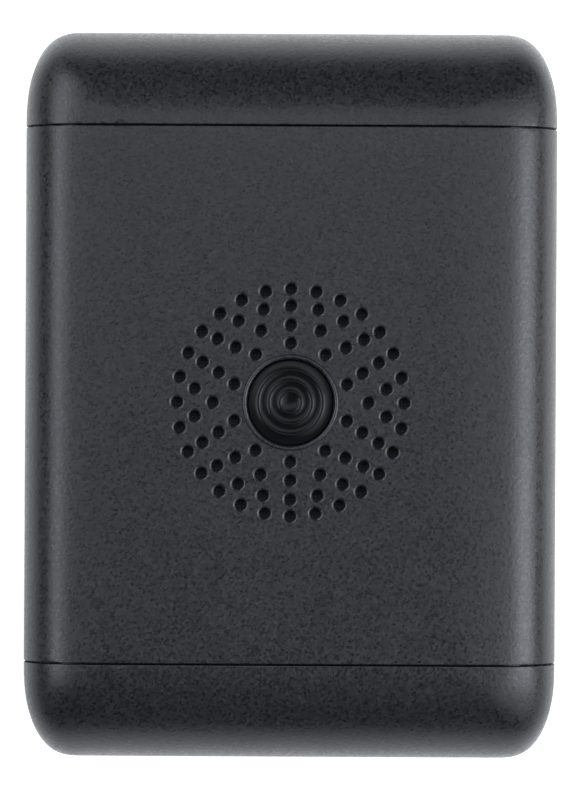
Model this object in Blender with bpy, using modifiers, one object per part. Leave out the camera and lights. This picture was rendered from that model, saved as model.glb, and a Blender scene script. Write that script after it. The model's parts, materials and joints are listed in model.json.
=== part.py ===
"""A small wireless audio receiver: moulded case, circuit board, two rear jacks and a front button.

Metres, +Z up. The origin is under the middle of the case, on the surface that its feet stand on.
+Y points to the end with the jacks and -Y to the end with the pairing button.
"""
import math

import bmesh
import bpy
from mathutils import Matrix, Vector

MM = 0.001
GAP = 0.3 * MM                      # clearance kept between pieces that touch

# Case
CASE_WIDTH = 54.6 * MM
CASE_LENGTH = 75 * MM
CASE_HEIGHT = 20 * MM
FOOT_STAND = 0.8 * MM               # how far the feet lift the case
WALL = 1.8 * MM
SIDE_ROUND = 5.6 * MM               # radius along the long top edges
END_ROUND = 10.1 * MM               # bullnose radius of the end caps
BASE_ROUND = 3.0 * MM               # radius round the underside
SEAM_WIDTH = 0.35 * MM              # joint line between centre and end caps
CORNER_STEPS = 7                    # facets in each plan corner
CORNER_POWER = 2.6                  # the plan corners are fuller than ellipses, whose power is 2
END_STEPS = 9                       # facets in the bullnose
BASE_STEPS = 4                      # facets in the underside's rounding

CASE_BOTTOM = FOOT_STAND
CASE_TOP = CASE_BOTTOM + CASE_HEIGHT
CORNER_X = CASE_WIDTH / 2 - SIDE_ROUND      # centres of the plan corners
CORNER_Y = CASE_LENGTH / 2 - END_ROUND
SEAM_Y = CORNER_Y                           # the seams lie where the ends start to curve
END_Y = CASE_LENGTH / 2
END_INNER_Y = END_Y - WALL
FLOOR_TOP = CASE_BOTTOM + WALL
ROOF_UNDERSIDE = CASE_TOP - WALL

# Joint between the covers and the caps
SPLIT_Z = 7.0 * MM                  # joint line between centre cover and base
TONGUE = 0.9 * MM                   # thickness of the locating tongues
TONGUE_OUTER = WALL + GAP           # inset of the tongue's outer face
TONGUE_INNER = TONGUE_OUTER + TONGUE
TONGUE_REACH = 3.0 * MM             # how far a cap's tongue goes into the centre tube
TONGUE_ROOT = 1.8 * MM              # length of the tongue's root inside the cap
LIP_RISE = 1.4 * MM                 # height of the base's lip above the joint line
LIP_HALF_LENGTH = SEAM_Y - TONGUE_REACH - 2 * GAP       # stops short of the caps' tongues
LIP_ROOT_Z = 4.6 * MM               # where the lip's root starts on the base's side wall

# Grille and emblem
GRILLE_Y = -0.75 * MM               # the pattern's centre lies a little forward of the middle
GRILLE_RINGS = ((28, 11.55 * MM), (22, 9.84 * MM), (16, 7.91 * MM), (10, 6.02 * MM))
VENT_RADIUS = 0.63 * MM
VENT_SIDES = 8
COLLAR_SIDES = 32
POCKET_RADIUS = 4.45 * MM
POCKET_DEPTH = 1.2 * MM
COLLAR_FOOT = 4.95 * MM             # outer radius of the raised collar round the pocket
COLLAR_CREST = 4.75 * MM
COLLAR_RISE = 0.2 * MM
EMBLEM_RADIUS = POCKET_RADIUS - GAP
EMBLEM_RECESS = 0.2 * MM            # the ripples' crests below the face
RIPPLE_DEPTH = 0.3 * MM
CLOTH_RADIUS = 13.0 * MM            # black cloth glued under the roof, behind the vents
CLOTH_THICKNESS = 0.5 * MM

# Circuit board
BOARD_WIDTH = 45 * MM
BOARD_FRONT = -31 * MM
BOARD_BACK = 33 * MM
BOARD_THICKNESS = 1.6 * MM
BOARD_CORNER = 2.0 * MM
BOARD_BOTTOM = 4.2 * MM
BOARD_TOP = BOARD_BOTTOM + BOARD_THICKNESS
SEAT = BOARD_TOP + GAP              # underside of everything mounted on the board
AXIS_Z = SEAT + 2.7 * MM            # height of both jacks, the button and the light pipe

# Case screws, from below through base and board into the centre cover
SCREW_X = 19 * MM
SCREW_Y = 13.5 * MM
SCREW_SHANK = 1.3 * MM
SCREW_HEAD = 2.5 * MM
SCREW_HEAD_HEIGHT = 1.1 * MM
SCREW_SEAT = 2.4 * MM               # height of the counterbore's floor
SCREW_TIP = 13.0 * MM
SCREW_TAPER = 1.6 * MM              # length of the screw's point
CROSS_LENGTH = 2.6 * MM             # cross recess in the screw's head
CROSS_WIDTH = 0.5 * MM
CROSS_DEPTH = 0.6 * MM
BOSS_RADIUS = 3.0 * MM
STANDOFF_RADIUS = 3.9 * MM

# Feet
FOOT_X = 19 * MM
FOOT_Y = 22.0 * MM
FOOT_RADIUS = 4.0 * MM
FOOT_TOP = 1.6 * MM
FOOT_EDGE = 0.35 * MM               # chamfer round each foot

# Jacks on the rear end
AUDIO_X = -9 * MM
POWER_X = 9 * MM
JACK_FACE_Y = END_Y - 0.2 * MM
JACK_BODY_FRONT = END_INNER_Y - GAP
JACK_BODY_HEIGHT = 5.4 * MM
AUDIO_BORE = 1.85 * MM              # takes a 3.5 mm plug
BUSHING_RADIUS = 3.0 * MM
POWER_BORE = 2.0 * MM
POWER_NOSE = 2.8 * MM
POWER_PIN = 0.65 * MM
CONTACT_HALF_WIDTH = 1.0 * MM
CONTACT_NEAR = 2.1 * MM             # a contact's leaf lies between these distances from the bore's axis
CONTACT_FAR = 2.5 * MM
CONTACT_TIP = 1.65 * MM             # how near its nub comes to the axis

# Pairing button on the front end
BUTTON_WIDTH = 10 * MM
BUTTON_HEIGHT = 4.2 * MM
BUTTON_FACE_Y = -(END_Y - 0.2 * MM)
BUTTON_FLANGE = 1.3 * MM            # how far the flange stands out round the button
BUTTON_FLANGE_THICKNESS = 1.0 * MM
BUTTON_STEM = 1.3 * MM              # radius of the stem that pushes the switch
BUTTON_BACK_Y = -33.3 * MM
PLUNGER_STROKE_ROOM = 1.1 * MM      # how far the switch's plunger stands out of its body
LAMP_X = 11 * MM
LIGHT_PIPE_RADIUS = 1.3 * MM
LIGHT_PIPE_FLANGE = 1.1 * MM        # how far the flange behind the cap stands out round the pipe
LIGHT_PIPE_FLANGE_THICKNESS = 0.8 * MM

FINISHES = {
    "case plastic": ((0.040, 0.042, 0.048), 0.55, 0.0),
    "gloss plastic": ((0.020, 0.021, 0.024), 0.2, 0.0),
    "black plastic": ((0.015, 0.015, 0.016), 0.45, 0.0),
    "rubber": ((0.030, 0.030, 0.030), 0.8, 0.0),
    "zinc steel": ((0.62, 0.62, 0.60), 0.3, 1.0),
    "nickel": ((0.70, 0.69, 0.66), 0.2, 1.0),
    "brass": ((0.72, 0.55, 0.25), 0.3, 1.0),
    "aluminium": ((0.75, 0.76, 0.78), 0.3, 1.0),
    "solder mask": ((0.020, 0.110, 0.040), 0.4, 0.0),
    "ceramic": ((0.75, 0.74, 0.70), 0.4, 0.0),
    "ferrite": ((0.060, 0.060, 0.065), 0.6, 0.0),
    "clear lens": ((0.80, 0.86, 0.92), 0.1, 0.0),
    "black cloth": ((0.010, 0.010, 0.011), 0.9, 0.0),
}


# Scene helpers

def clear_scene():
    for old in list(bpy.data.objects):
        bpy.data.objects.remove(old, do_unlink=True)


def new_collection(name):
    collection = bpy.data.collections.new(name)
    bpy.context.scene.collection.children.link(collection)
    return collection


def link_object(name, shape, collection):
    """Turn a bmesh into a named object in a collection, smooth where it is round."""
    mesh = bpy.data.meshes.new(name)
    shape.to_mesh(mesh)
    shape.free()
    mesh.shade_smooth()
    mesh.set_sharp_from_angle(angle=math.radians(32))
    obj = bpy.data.objects.new(name, mesh)
    collection.objects.link(obj)
    return obj


def part(name, shape, finish):
    """A piece of the receiver, with its own material."""
    obj = link_object(name, shape, PARTS)
    color, roughness, metallic = FINISHES[finish]
    material = bpy.data.materials.new(name)
    material.use_nodes = True
    shader = material.node_tree.nodes["Principled BSDF"]
    shader.inputs["Base Color"].default_value = (*color, 1.0)
    shader.inputs["Roughness"].default_value = roughness
    shader.inputs["Metallic"].default_value = metallic
    obj.data.materials.append(material)
    return obj


def tool(name, shape):
    """A cutter, or a shape to be joined to a piece. It isn't part of the receiver."""
    obj = link_object(name, shape, CUTTERS)
    obj.hide_render = True
    obj.display_type = "WIRE"
    return obj


def combine(obj, operation, other):
    modifier = obj.modifiers.new(other.name, "BOOLEAN")
    modifier.operation = operation
    modifier.object = other
    modifier.solver = "EXACT"


# Shape helpers. Each returns a bmesh in world coordinates.

def box(low, high, target=None):
    """A box between two corners, added to the target shape if there is one."""
    shape = target or bmesh.new()
    low, high = Vector(low), Vector(high)
    size = high - low
    place = Matrix.Translation((low + high) / 2) @ Matrix.Diagonal((*size, 1.0))
    bmesh.ops.create_cube(shape, size=1.0, matrix=place)
    return shape


def rounded_box(low, high, axis, radius, steps=3):
    """A box whose four edges along one axis (0, 1 or 2) are rounded."""
    shape = box(low, high)
    along = Vector((0, 0, 0))
    along[axis] = 1.0
    edges = [edge for edge in shape.edges
             if abs((edge.verts[1].co - edge.verts[0].co).normalized().dot(along)) > 0.99]
    bmesh.ops.bevel(shape, geom=edges, offset=radius, segments=steps, profile=0.5, affect="EDGES")
    return shape


AXIS_TURNS = {
    "Z": Matrix.Identity(4),
    "+Y": Matrix.Rotation(math.radians(-90), 4, "X"),
    "-Y": Matrix.Rotation(math.radians(90), 4, "X"),
}


def rod(start, length, radius, axis="Z", sides=20, target=None):
    """A cylinder that starts at a point and runs along an axis."""
    shape = target or bmesh.new()
    middle = Matrix.Translation((0, 0, length / 2))
    place = Matrix.Translation(start) @ AXIS_TURNS[axis] @ middle
    bmesh.ops.create_cone(shape, cap_ends=True, segments=sides, radius1=radius, radius2=radius,
                          depth=length, matrix=place)
    return shape


def turned(name, profile, finish, origin, axis="Z", steps=20, closed=False):
    """A turned piece: a profile of (radius, height) points, top to bottom, spun round its axis."""
    shape = bmesh.new()
    points = [shape.verts.new((radius, 0, height)) for radius, height in profile]
    for first, second in zip(points, points[1:]):
        shape.edges.new((first, second))
    if closed:
        shape.edges.new((points[-1], points[0]))
    obj = part(name, shape, finish)
    obj.matrix_world = Matrix.Translation(origin) @ AXIS_TURNS[axis]
    screw = obj.modifiers.new("turn", "SCREW")
    screw.steps = screw.render_steps = steps
    screw.use_merge_vertices = True
    screw.merge_threshold = 0.00001
    screw.use_smooth_shade = True
    return obj


# The case's outer form

def arc_inset(height, radius):
    """How far a quarter circle has moved in, at this height above its centre."""
    height = min(max(height, 0.0), radius)
    return radius - math.sqrt(radius ** 2 - height ** 2)


def full_corner(share):
    return math.copysign(abs(share) ** (2 / CORNER_POWER), share)


def case_outline(z, inset):
    """The case's plan at height z, moved in by inset: a rectangle with full, rounded corners."""
    side = SIDE_ROUND - inset
    end = END_ROUND - inset
    base_inset = arc_inset(CASE_BOTTOM + BASE_ROUND - z, BASE_ROUND - inset)
    corner_x = side - arc_inset(z - (CASE_TOP - SIDE_ROUND), side) - base_inset
    corner_y = end - arc_inset(z - (CASE_TOP - END_ROUND), end) - base_inset
    outline = []
    for quarter, (sign_x, sign_y) in enumerate(((1, 1), (-1, 1), (-1, -1), (1, -1))):
        for step in range(CORNER_STEPS + 1):
            angle = (quarter + step / CORNER_STEPS) * math.pi / 2
            x = sign_x * CORNER_X + corner_x * full_corner(math.cos(angle))
            y = sign_y * CORNER_Y + corner_y * full_corner(math.sin(angle))
            outline.append((x, y, z))
    return outline


def case_form(inset):
    """The whole case as one solid, moved in by inset: a loft through its plan outlines."""
    base = BASE_ROUND - inset
    end = END_ROUND - inset
    heights = [CASE_BOTTOM + BASE_ROUND - base * math.cos(step / BASE_STEPS * math.pi / 2)
               for step in range(BASE_STEPS + 1)]
    heights += [CASE_TOP - END_ROUND + end * math.sin(step / END_STEPS * math.pi / 2)
                for step in range(END_STEPS + 1)]
    shape = bmesh.new()
    rings = [[shape.verts.new(point) for point in case_outline(z, inset)] for z in heights]
    for lower, upper in zip(rings, rings[1:]):
        for index in range(len(lower)):
            after = (index + 1) % len(lower)
            shape.faces.new((lower[index], lower[after], upper[after], upper[index]))
    shape.faces.new(reversed(rings[0]))
    shape.faces.new(rings[-1])
    bmesh.ops.remove_doubles(shape, verts=shape.verts, dist=0.001 * MM)
    return shape


def corner_places(x, y):
    return [(sign_x * x, sign_y * y) for sign_y in (1, -1) for sign_x in (1, -1)]


# Case pieces

def make_top_cover():
    """Centre cover: roof with the grille, both long sides, and four screw bosses."""
    cover = part("top_cover", case_form(0), "case plastic")
    reach = SEAM_Y - SEAM_WIDTH / 2
    room = CASE_WIDTH
    span = box((-room, -reach, SPLIT_Z + GAP / 2), (room, reach, CASE_TOP + room))
    combine(cover, "INTERSECT", tool("top_cover_span", span))
    combine(cover, "DIFFERENCE", CAVITY)

    bosses = bmesh.new()
    for x, y in corner_places(SCREW_X, SCREW_Y):
        height = ROOF_UNDERSIDE + WALL / 2 - SEAT
        rod((x, y, SEAT), height, BOSS_RADIUS, sides=16, target=bosses)
    combine(cover, "UNION", tool("top_cover_bosses", bosses))

    # The collar's flank runs on below the face, so that it joins the roof without a shared face.
    flare = (COLLAR_FOOT - COLLAR_CREST) / COLLAR_RISE
    depth = POCKET_DEPTH / 2 + COLLAR_RISE
    middle = Matrix.Translation((0, GRILLE_Y, CASE_TOP + COLLAR_RISE - depth / 2))
    collar = bmesh.new()
    bmesh.ops.create_cone(collar, cap_ends=True, segments=COLLAR_SIDES, depth=depth,
                          radius1=COLLAR_CREST + depth * flare, radius2=COLLAR_CREST, matrix=middle)
    combine(cover, "UNION", tool("emblem_collar", collar))

    openings = bmesh.new()
    rod((0, GRILLE_Y, CASE_TOP - POCKET_DEPTH), 2 * POCKET_DEPTH, POCKET_RADIUS,
        sides=COLLAR_SIDES, target=openings)
    for count, ring_radius in GRILLE_RINGS:
        for index in range(count):
            angle = math.pi / 2 + index * 2 * math.pi / count
            x = ring_radius * math.cos(angle)
            y = GRILLE_Y + ring_radius * math.sin(angle)
            rod((x, y, ROOF_UNDERSIDE - WALL), 3 * WALL, VENT_RADIUS, sides=VENT_SIDES, target=openings)
    for x, y in corner_places(SCREW_X, SCREW_Y):
        pilot = SCREW_TIP + 2 * GAP
        rod((x, y, SEAT - WALL), pilot - SEAT + WALL, SCREW_SHANK + GAP, sides=12, target=openings)
    combine(cover, "DIFFERENCE", tool("top_cover_openings", openings))


def make_bottom_cover():
    """Base tray: floor, low side walls with a locating lip, four board standoffs."""
    base = part("bottom_cover", case_form(0), "case plastic")
    reach = SEAM_Y - SEAM_WIDTH / 2
    room = CASE_WIDTH
    span = box((-room, -reach, -room), (room, reach, SPLIT_Z - GAP / 2))
    combine(base, "INTERSECT", tool("bottom_cover_span", span))
    combine(base, "DIFFERENCE", CAVITY)

    standoffs = bmesh.new()
    for x, y in corner_places(SCREW_X, SCREW_Y):
        foot = FLOOR_TOP - WALL / 2
        rod((x, y, foot), BOARD_BOTTOM - GAP - foot, STANDOFF_RADIUS, sides=16, target=standoffs)
    combine(base, "UNION", tool("bottom_cover_standoffs", standoffs))

    lip_outer = CASE_WIDTH / 2 - TONGUE_OUTER
    lip_inner = CASE_WIDTH / 2 - TONGUE_INNER
    lip_top = SPLIT_Z + LIP_RISE
    for side, name in ((1, "right"), (-1, "left")):
        profile = bmesh.new()
        corners = ((lip_inner, LIP_ROOT_Z), (lip_outer + 2 * GAP, LIP_ROOT_Z),
                   (lip_outer + 2 * GAP, SPLIT_Z - 2 * GAP), (lip_outer, SPLIT_Z - GAP),
                   (lip_outer, lip_top), (lip_inner, lip_top))
        ring = [profile.verts.new((side * x, -LIP_HALF_LENGTH, z)) for x, z in corners]
        face = profile.faces.new(ring)
        grown = bmesh.ops.extrude_face_region(profile, geom=[face])
        moved = [item for item in grown["geom"] if isinstance(item, bmesh.types.BMVert)]
        bmesh.ops.translate(profile, verts=moved, vec=(0, 2 * LIP_HALF_LENGTH, 0))
        bmesh.ops.recalc_face_normals(profile, faces=profile.faces)
        combine(base, "UNION", tool(f"bottom_cover_lip_{name}", profile))

    openings = bmesh.new()
    for x, y in corner_places(SCREW_X, SCREW_Y):
        rod((x, y, -WALL), SCREW_SEAT + WALL, SCREW_HEAD + GAP, sides=20, target=openings)
    for x, y in corner_places(FOOT_X, FOOT_Y):
        rod((x, y, -WALL), FOOT_TOP + GAP + WALL, FOOT_RADIUS + GAP, sides=24, target=openings)
    combine(base, "DIFFERENCE", tool("bottom_cover_pockets", openings))

    bores = bmesh.new()
    for x, y in corner_places(SCREW_X, SCREW_Y):
        rod((x, y, 0), BOARD_TOP, SCREW_SHANK + GAP, sides=12, target=bores)
    combine(base, "DIFFERENCE", tool("bottom_cover_bores", bores))


def make_end_cap(name, side, openings):
    """An end cap: a bullnose shell with a tongue all round that goes into the centre tube."""
    cap = part(name, case_form(0), "case plastic")
    room = CASE_WIDTH
    seam = SEAM_Y + SEAM_WIDTH / 2

    def slab(label, first, last):
        low, high = sorted((side * first, side * last))
        return tool(f"{name}_{label}", box((-room, low, -room), (room, high, room)))

    combine(cap, "INTERSECT", slab("span", seam, END_Y + room))
    combine(cap, "DIFFERENCE", CAVITY)

    tongue = tool(f"{name}_tongue", case_form(TONGUE_OUTER))
    combine(tongue, "INTERSECT", slab("tongue_span", SEAM_Y - TONGUE_REACH, seam + TONGUE_ROOT))
    root = tool(f"{name}_tongue_root", case_form(WALL - GAP))
    combine(root, "INTERSECT", slab("root_span", seam, seam + TONGUE_ROOT))
    combine(tongue, "UNION", root)
    combine(tongue, "DIFFERENCE", TONGUE_HOLLOW)
    combine(cap, "UNION", tongue)
    combine(cap, "DIFFERENCE", tool(f"{name}_openings", openings))


def make_front_end_cap():
    hole_x = BUTTON_WIDTH / 2 + GAP
    hole_z = BUTTON_HEIGHT / 2 + GAP
    openings = rounded_box((-hole_x, -END_Y - WALL, AXIS_Z - hole_z),
                           (hole_x, -END_INNER_Y + WALL, AXIS_Z + hole_z), 1, hole_z * 0.999, steps=6)
    rod((LAMP_X, -END_Y - WALL, AXIS_Z), 3 * WALL, LIGHT_PIPE_RADIUS + GAP, "+Y", 16, target=openings)
    make_end_cap("front_end_cap", -1, openings)


def make_rear_end_cap():
    openings = bmesh.new()
    for x, radius in ((AUDIO_X, BUSHING_RADIUS), (POWER_X, POWER_NOSE)):
        rod((x, END_INNER_Y - WALL, AXIS_Z), 3 * WALL, radius + GAP, "+Y", 24, target=openings)
    make_end_cap("rear_end_cap", 1, openings)


def make_emblem():
    """Round glossy emblem whose face is plain concentric ripples."""
    waves = 3.5
    points = 14
    bottom = -(POCKET_DEPTH - GAP)
    profile = []
    for step in range(points + 1):
        share = step / points
        fall = 0.5 - 0.5 * math.cos(2 * math.pi * waves * share)
        profile.append((EMBLEM_RADIUS * share, -EMBLEM_RECESS - RIPPLE_DEPTH * fall))
    profile += [(EMBLEM_RADIUS, bottom), (0, bottom)]
    turned("emblem", profile, "gloss plastic", (0, GRILLE_Y, CASE_TOP), steps=28)


def make_grille_cloth():
    """Disc of black cloth, glued under the roof so that the vents look dark and keep dust out."""
    top = ROOF_UNDERSIDE - GAP
    shape = rod((0, GRILLE_Y, top - CLOTH_THICKNESS), CLOTH_THICKNESS, CLOTH_RADIUS, sides=40)
    part("grille_cloth", shape, "black cloth")


def make_screws_and_feet():
    head = SCREW_SEAT - GAP
    for index, (x, y) in enumerate(corner_places(SCREW_X, SCREW_Y), 1):
        low = head - SCREW_HEAD_HEIGHT
        profile = [(0, SCREW_TIP), (SCREW_SHANK * 0.45, SCREW_TIP - SCREW_TAPER * 0.4),
                   (SCREW_SHANK, SCREW_TIP - SCREW_TAPER), (SCREW_SHANK, head), (SCREW_HEAD, head),
                   (SCREW_HEAD, low + GAP), (SCREW_HEAD - GAP, low), (0, low)]
        screw = turned(f"case_screw_{index}", profile, "zinc steel", (x, y, 0), steps=16)
        for label, half_x, half_y in (("long", CROSS_LENGTH / 2, CROSS_WIDTH / 2),
                                      ("wide", CROSS_WIDTH / 2, CROSS_LENGTH / 2)):
            recess = box((-half_x, -half_y, -WALL), (half_x, half_y, low + CROSS_DEPTH))
            cutter = tool(f"case_screw_{index}_{label}_slot", recess)
            cutter.location = (x, y, 0)
            combine(screw, "DIFFERENCE", cutter)
    for index, (x, y) in enumerate(corner_places(FOOT_X, FOOT_Y), 1):
        profile = [(0, FOOT_TOP), (FOOT_RADIUS, FOOT_TOP), (FOOT_RADIUS, FOOT_EDGE),
                   (FOOT_RADIUS - FOOT_EDGE, 0), (0, 0)]
        turned(f"rubber_foot_{index}", profile, "rubber", (x, y, 0), steps=24)


# Circuit board and the parts on it

def chip(name, x, y, size, finish, radius=0.25 * MM, base=SEAT):
    """A block mounted on the board, with its plan corners rounded. size is width, depth, height."""
    width, depth, height = size
    low = (x - width / 2, y - depth / 2, base)
    high = (x + width / 2, y + depth / 2, base + height)
    part(name, rounded_box(low, high, 2, radius), finish)


def make_board():
    low = (-BOARD_WIDTH / 2, BOARD_FRONT, BOARD_BOTTOM)
    high = (BOARD_WIDTH / 2, BOARD_BACK, BOARD_TOP)
    board = part("main_board", rounded_box(low, high, 2, BOARD_CORNER), "solder mask")
    holes = bmesh.new()
    for x, y in corner_places(SCREW_X, SCREW_Y):
        rod((x, y, 0), 2 * BOARD_TOP, SCREW_SHANK + 1.5 * GAP, sides=12, target=holes)
    combine(board, "DIFFERENCE", tool("main_board_holes", holes))


# Name, place and size in millimetres, finish, and radius of the plan corners
CHIPS = (
    ("audio_codec_chip", (-7.0, 6.5), (7.0, 7.0, 1.0), "black plastic", 0.25),
    ("line_driver_chip", (-10.5, 14.5), (5.0, 3.9, 1.5), "black plastic", 0.25),
    ("flash_memory_chip", (7.0, -9.0), (5.0, 3.9, 1.5), "black plastic", 0.25),
    ("crystal", (2.5, 6.5), (5.0, 3.2, 1.2), "nickel", 0.5),
    ("voltage_regulator", (5.5, 14.5), (6.5, 3.5, 1.6), "black plastic", 0.25),
    ("power_inductor", (13.0, 5.5), (5.8, 5.8, 3.0), "ferrite", 1.4),
    ("protection_diode", (7.5, 20.5), (4.3, 2.6, 2.2), "black plastic", 0.25),
    ("ferrite_bead", (2.0, 20.5), (3.2, 1.8, 1.4), "ferrite", 0.25),
)


def make_chips():
    for name, (x, y), size, finish, radius in CHIPS:
        chip(name, x * MM, y * MM, [side * MM for side in size], finish, radius * MM)


def make_bluetooth_module():
    """Radio module: its own board, a tinned shield can, and a chip antenna on its bare end."""
    thickness = 0.8 * MM
    x = -6 * MM
    chip("radio_module_board", x, -14 * MM, (14 * MM, 24 * MM, thickness), "solder mask", 0.4 * MM)
    top = SEAT + thickness + GAP
    chip("radio_shield_can", x, -10.5 * MM, (12 * MM, 15 * MM, 2.0 * MM), "nickel", 0.6 * MM, top)
    chip("radio_antenna", x, -22.5 * MM, (8 * MM, 2.0 * MM, 1.2 * MM), "ceramic", 0.15 * MM, top)


def make_capacitors():
    """Electrolytic capacitors: two couple the outputs, two smooth the supply."""
    places = ((-14 * MM, 20.5 * MM, 2.5 * MM, 8 * MM), (-7.5 * MM, 20.5 * MM, 2.5 * MM, 8 * MM),
              (13.8 * MM, 20.0 * MM, 3.1 * MM, 8 * MM), (13 * MM, -3.0 * MM, 3.1 * MM, 8 * MM))
    for index, (x, y, radius, height) in enumerate(places, 1):
        profile = [(0, height), (radius - 0.4 * MM, height), (radius, height - 0.4 * MM),
                   (radius, 1.9 * MM), (radius - 0.3 * MM, 1.5 * MM), (radius, 1.1 * MM),
                   (radius, 0), (0, 0)]
        turned(f"capacitor_{index}", profile, "aluminium", (x, y, SEAT), steps=14)


def make_contact(name, axis_x, side, y):
    """A jack contact: an upright leaf beside the bore, with a nub that reaches to it."""
    half = CONTACT_HALF_WIDTH
    near, far = sorted((axis_x + side * CONTACT_NEAR, axis_x + side * CONTACT_FAR))
    obj = part(name, box((near, y - half, SEAT), (far, y + half, AXIS_Z + half)), "brass")
    inner = (CONTACT_NEAR + CONTACT_FAR) / 2
    near, far = sorted((axis_x + side * CONTACT_TIP, axis_x + side * inner))
    nub = box((near, y - half / 2, AXIS_Z - half / 2), (far, y + half / 2, AXIS_Z + half / 2))
    combine(obj, "UNION", tool(f"{name}_nub", nub))


def contact_slot(target, axis_x, side, y):
    """Room in a jack's body for a contact, open to the bore and to the board."""
    half = CONTACT_HALF_WIDTH + GAP
    near, far = sorted((axis_x + side * 4 * GAP, axis_x + side * (CONTACT_FAR + GAP)))
    box((near, y - half, SEAT - WALL), (far, y + half, AXIS_Z + half), target)


def jack_block(name, x, half_width, back_y):
    low = (x - half_width, back_y, SEAT)
    high = (x + half_width, JACK_BODY_FRONT, SEAT + JACK_BODY_HEIGHT)
    return part(name, rounded_box(low, high, 1, 0.4 * MM, steps=2), "black plastic")


def make_audio_jack():
    """3.5 mm stereo jack: moulded body, nickel bushing, three contacts."""
    back_y = 23.9 * MM
    back_wall = 1.2 * MM
    half_width = 3.5 * MM
    body = jack_block("audio_jack_body", AUDIO_X, half_width, back_y)
    bore = rod((AUDIO_X, back_y + back_wall, AXIS_Z), END_Y, AUDIO_BORE, "+Y", 20)
    combine(body, "DIFFERENCE", tool("audio_jack_bore", bore))
    contacts = (("tip", -1, 27.2 * MM), ("ring", 1, 30.2 * MM), ("sleeve", -1, 33.2 * MM))
    for label, side, y in contacts:
        slot = bmesh.new()
        contact_slot(slot, AUDIO_X, side, y)
        combine(body, "DIFFERENCE", tool(f"audio_jack_{label}_slot", slot))
        make_contact(f"audio_jack_{label}_contact", AUDIO_X, side, y)

    length = JACK_FACE_Y - END_INNER_Y
    mouth, edge = 0.35 * MM, 0.2 * MM
    profile = [(AUDIO_BORE + mouth, length), (BUSHING_RADIUS - edge, length),
               (BUSHING_RADIUS, length - edge), (BUSHING_RADIUS, 0), (AUDIO_BORE, 0),
               (AUDIO_BORE, length - mouth)]
    turned("audio_jack_bushing", profile, "nickel", (AUDIO_X, END_INNER_Y, AXIS_Z), "+Y", 24, closed=True)


def make_power_jack():
    """Low-voltage power jack: moulded body with a nose, centre pin, side contact."""
    back_y = 24.5 * MM
    bore_back_y = 27.0 * MM
    contact_y = 31.0 * MM
    half_width = 3.2 * MM
    body = jack_block("power_jack_body", POWER_X, half_width, back_y)
    nose_y = JACK_BODY_FRONT - WALL
    nose = rod((POWER_X, nose_y, AXIS_Z), JACK_FACE_Y - nose_y, POWER_NOSE, "+Y", 24)
    combine(body, "UNION", tool("power_jack_nose", nose))
    bore = rod((POWER_X, bore_back_y, AXIS_Z), END_Y, POWER_BORE, "+Y", 20)
    combine(body, "DIFFERENCE", tool("power_jack_bore", bore))
    pin_hole = rod((POWER_X, back_y - WALL, AXIS_Z), 2 * WALL + GAP * 4, POWER_PIN + GAP, "+Y", 12)
    combine(body, "DIFFERENCE", tool("power_jack_pin_hole", pin_hole))
    slot = bmesh.new()
    contact_slot(slot, POWER_X, 1, contact_y)
    combine(body, "DIFFERENCE", tool("power_jack_slot", slot))
    make_contact("power_jack_side_contact", POWER_X, 1, contact_y)

    pin_back_y = back_y + GAP
    recess = 0.8 * MM                   # the pin's tip lies this far behind the jack's face
    length = JACK_FACE_Y - recess - pin_back_y
    profile = [(0, length), (POWER_PIN * 0.6, length - POWER_PIN * 0.15), (POWER_PIN, length - POWER_PIN),
               (POWER_PIN, 0), (0, 0)]
    turned("power_jack_centre_pin", profile, "nickel", (POWER_X, pin_back_y, AXIS_Z), "+Y", 12)


# Front end

def make_pairing_button():
    """Button and switch plunger. Both hang on an empty that lies on the line they slide along."""
    guide = bpy.data.objects.new("pairing_button_axis", None)
    guide.location = (0, BUTTON_FACE_Y, AXIS_Z)
    PARTS.objects.link(guide)
    to_guide = Matrix.Translation(guide.location).inverted()

    half_x, half_z = BUTTON_WIDTH / 2, BUTTON_HEIGHT / 2
    flange_front = -END_INNER_Y + GAP
    flange_back = flange_front + BUTTON_FLANGE_THICKNESS
    cap = rounded_box((-half_x, BUTTON_FACE_Y, AXIS_Z - half_z),
                      (half_x, flange_back - GAP, AXIS_Z + half_z), 1, half_z * 0.999, steps=6)
    button = part("pairing_button", cap, "case plastic")
    wide_x, wide_z = half_x + BUTTON_FLANGE, half_z + BUTTON_FLANGE
    flange = rounded_box((-wide_x, flange_front, AXIS_Z - wide_z),
                         (wide_x, flange_back, AXIS_Z + wide_z), 1, half_z)
    combine(button, "UNION", tool("pairing_button_flange", flange))
    stem_front = flange_back - 2 * GAP
    stem = rod((0, stem_front, AXIS_Z), BUTTON_BACK_Y - stem_front, BUTTON_STEM, "+Y", 16)
    combine(button, "UNION", tool("pairing_button_stem", stem))

    plunger_face = BUTTON_BACK_Y + GAP
    shaft, collar = 1.7 * MM, 2.4 * MM
    step, back = -PLUNGER_STROKE_ROOM, -PLUNGER_STROKE_ROOM - 1.0 * MM
    profile = [(0, 0), (shaft, 0), (shaft, step), (collar, step), (collar, back), (0, back)]
    plunger = turned("switch_plunger", profile, "black plastic", (0, plunger_face, AXIS_Z), "-Y", 16)
    for moving in (button, plunger):
        moving.parent = guide
        moving.matrix_parent_inverse = to_guide


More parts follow.
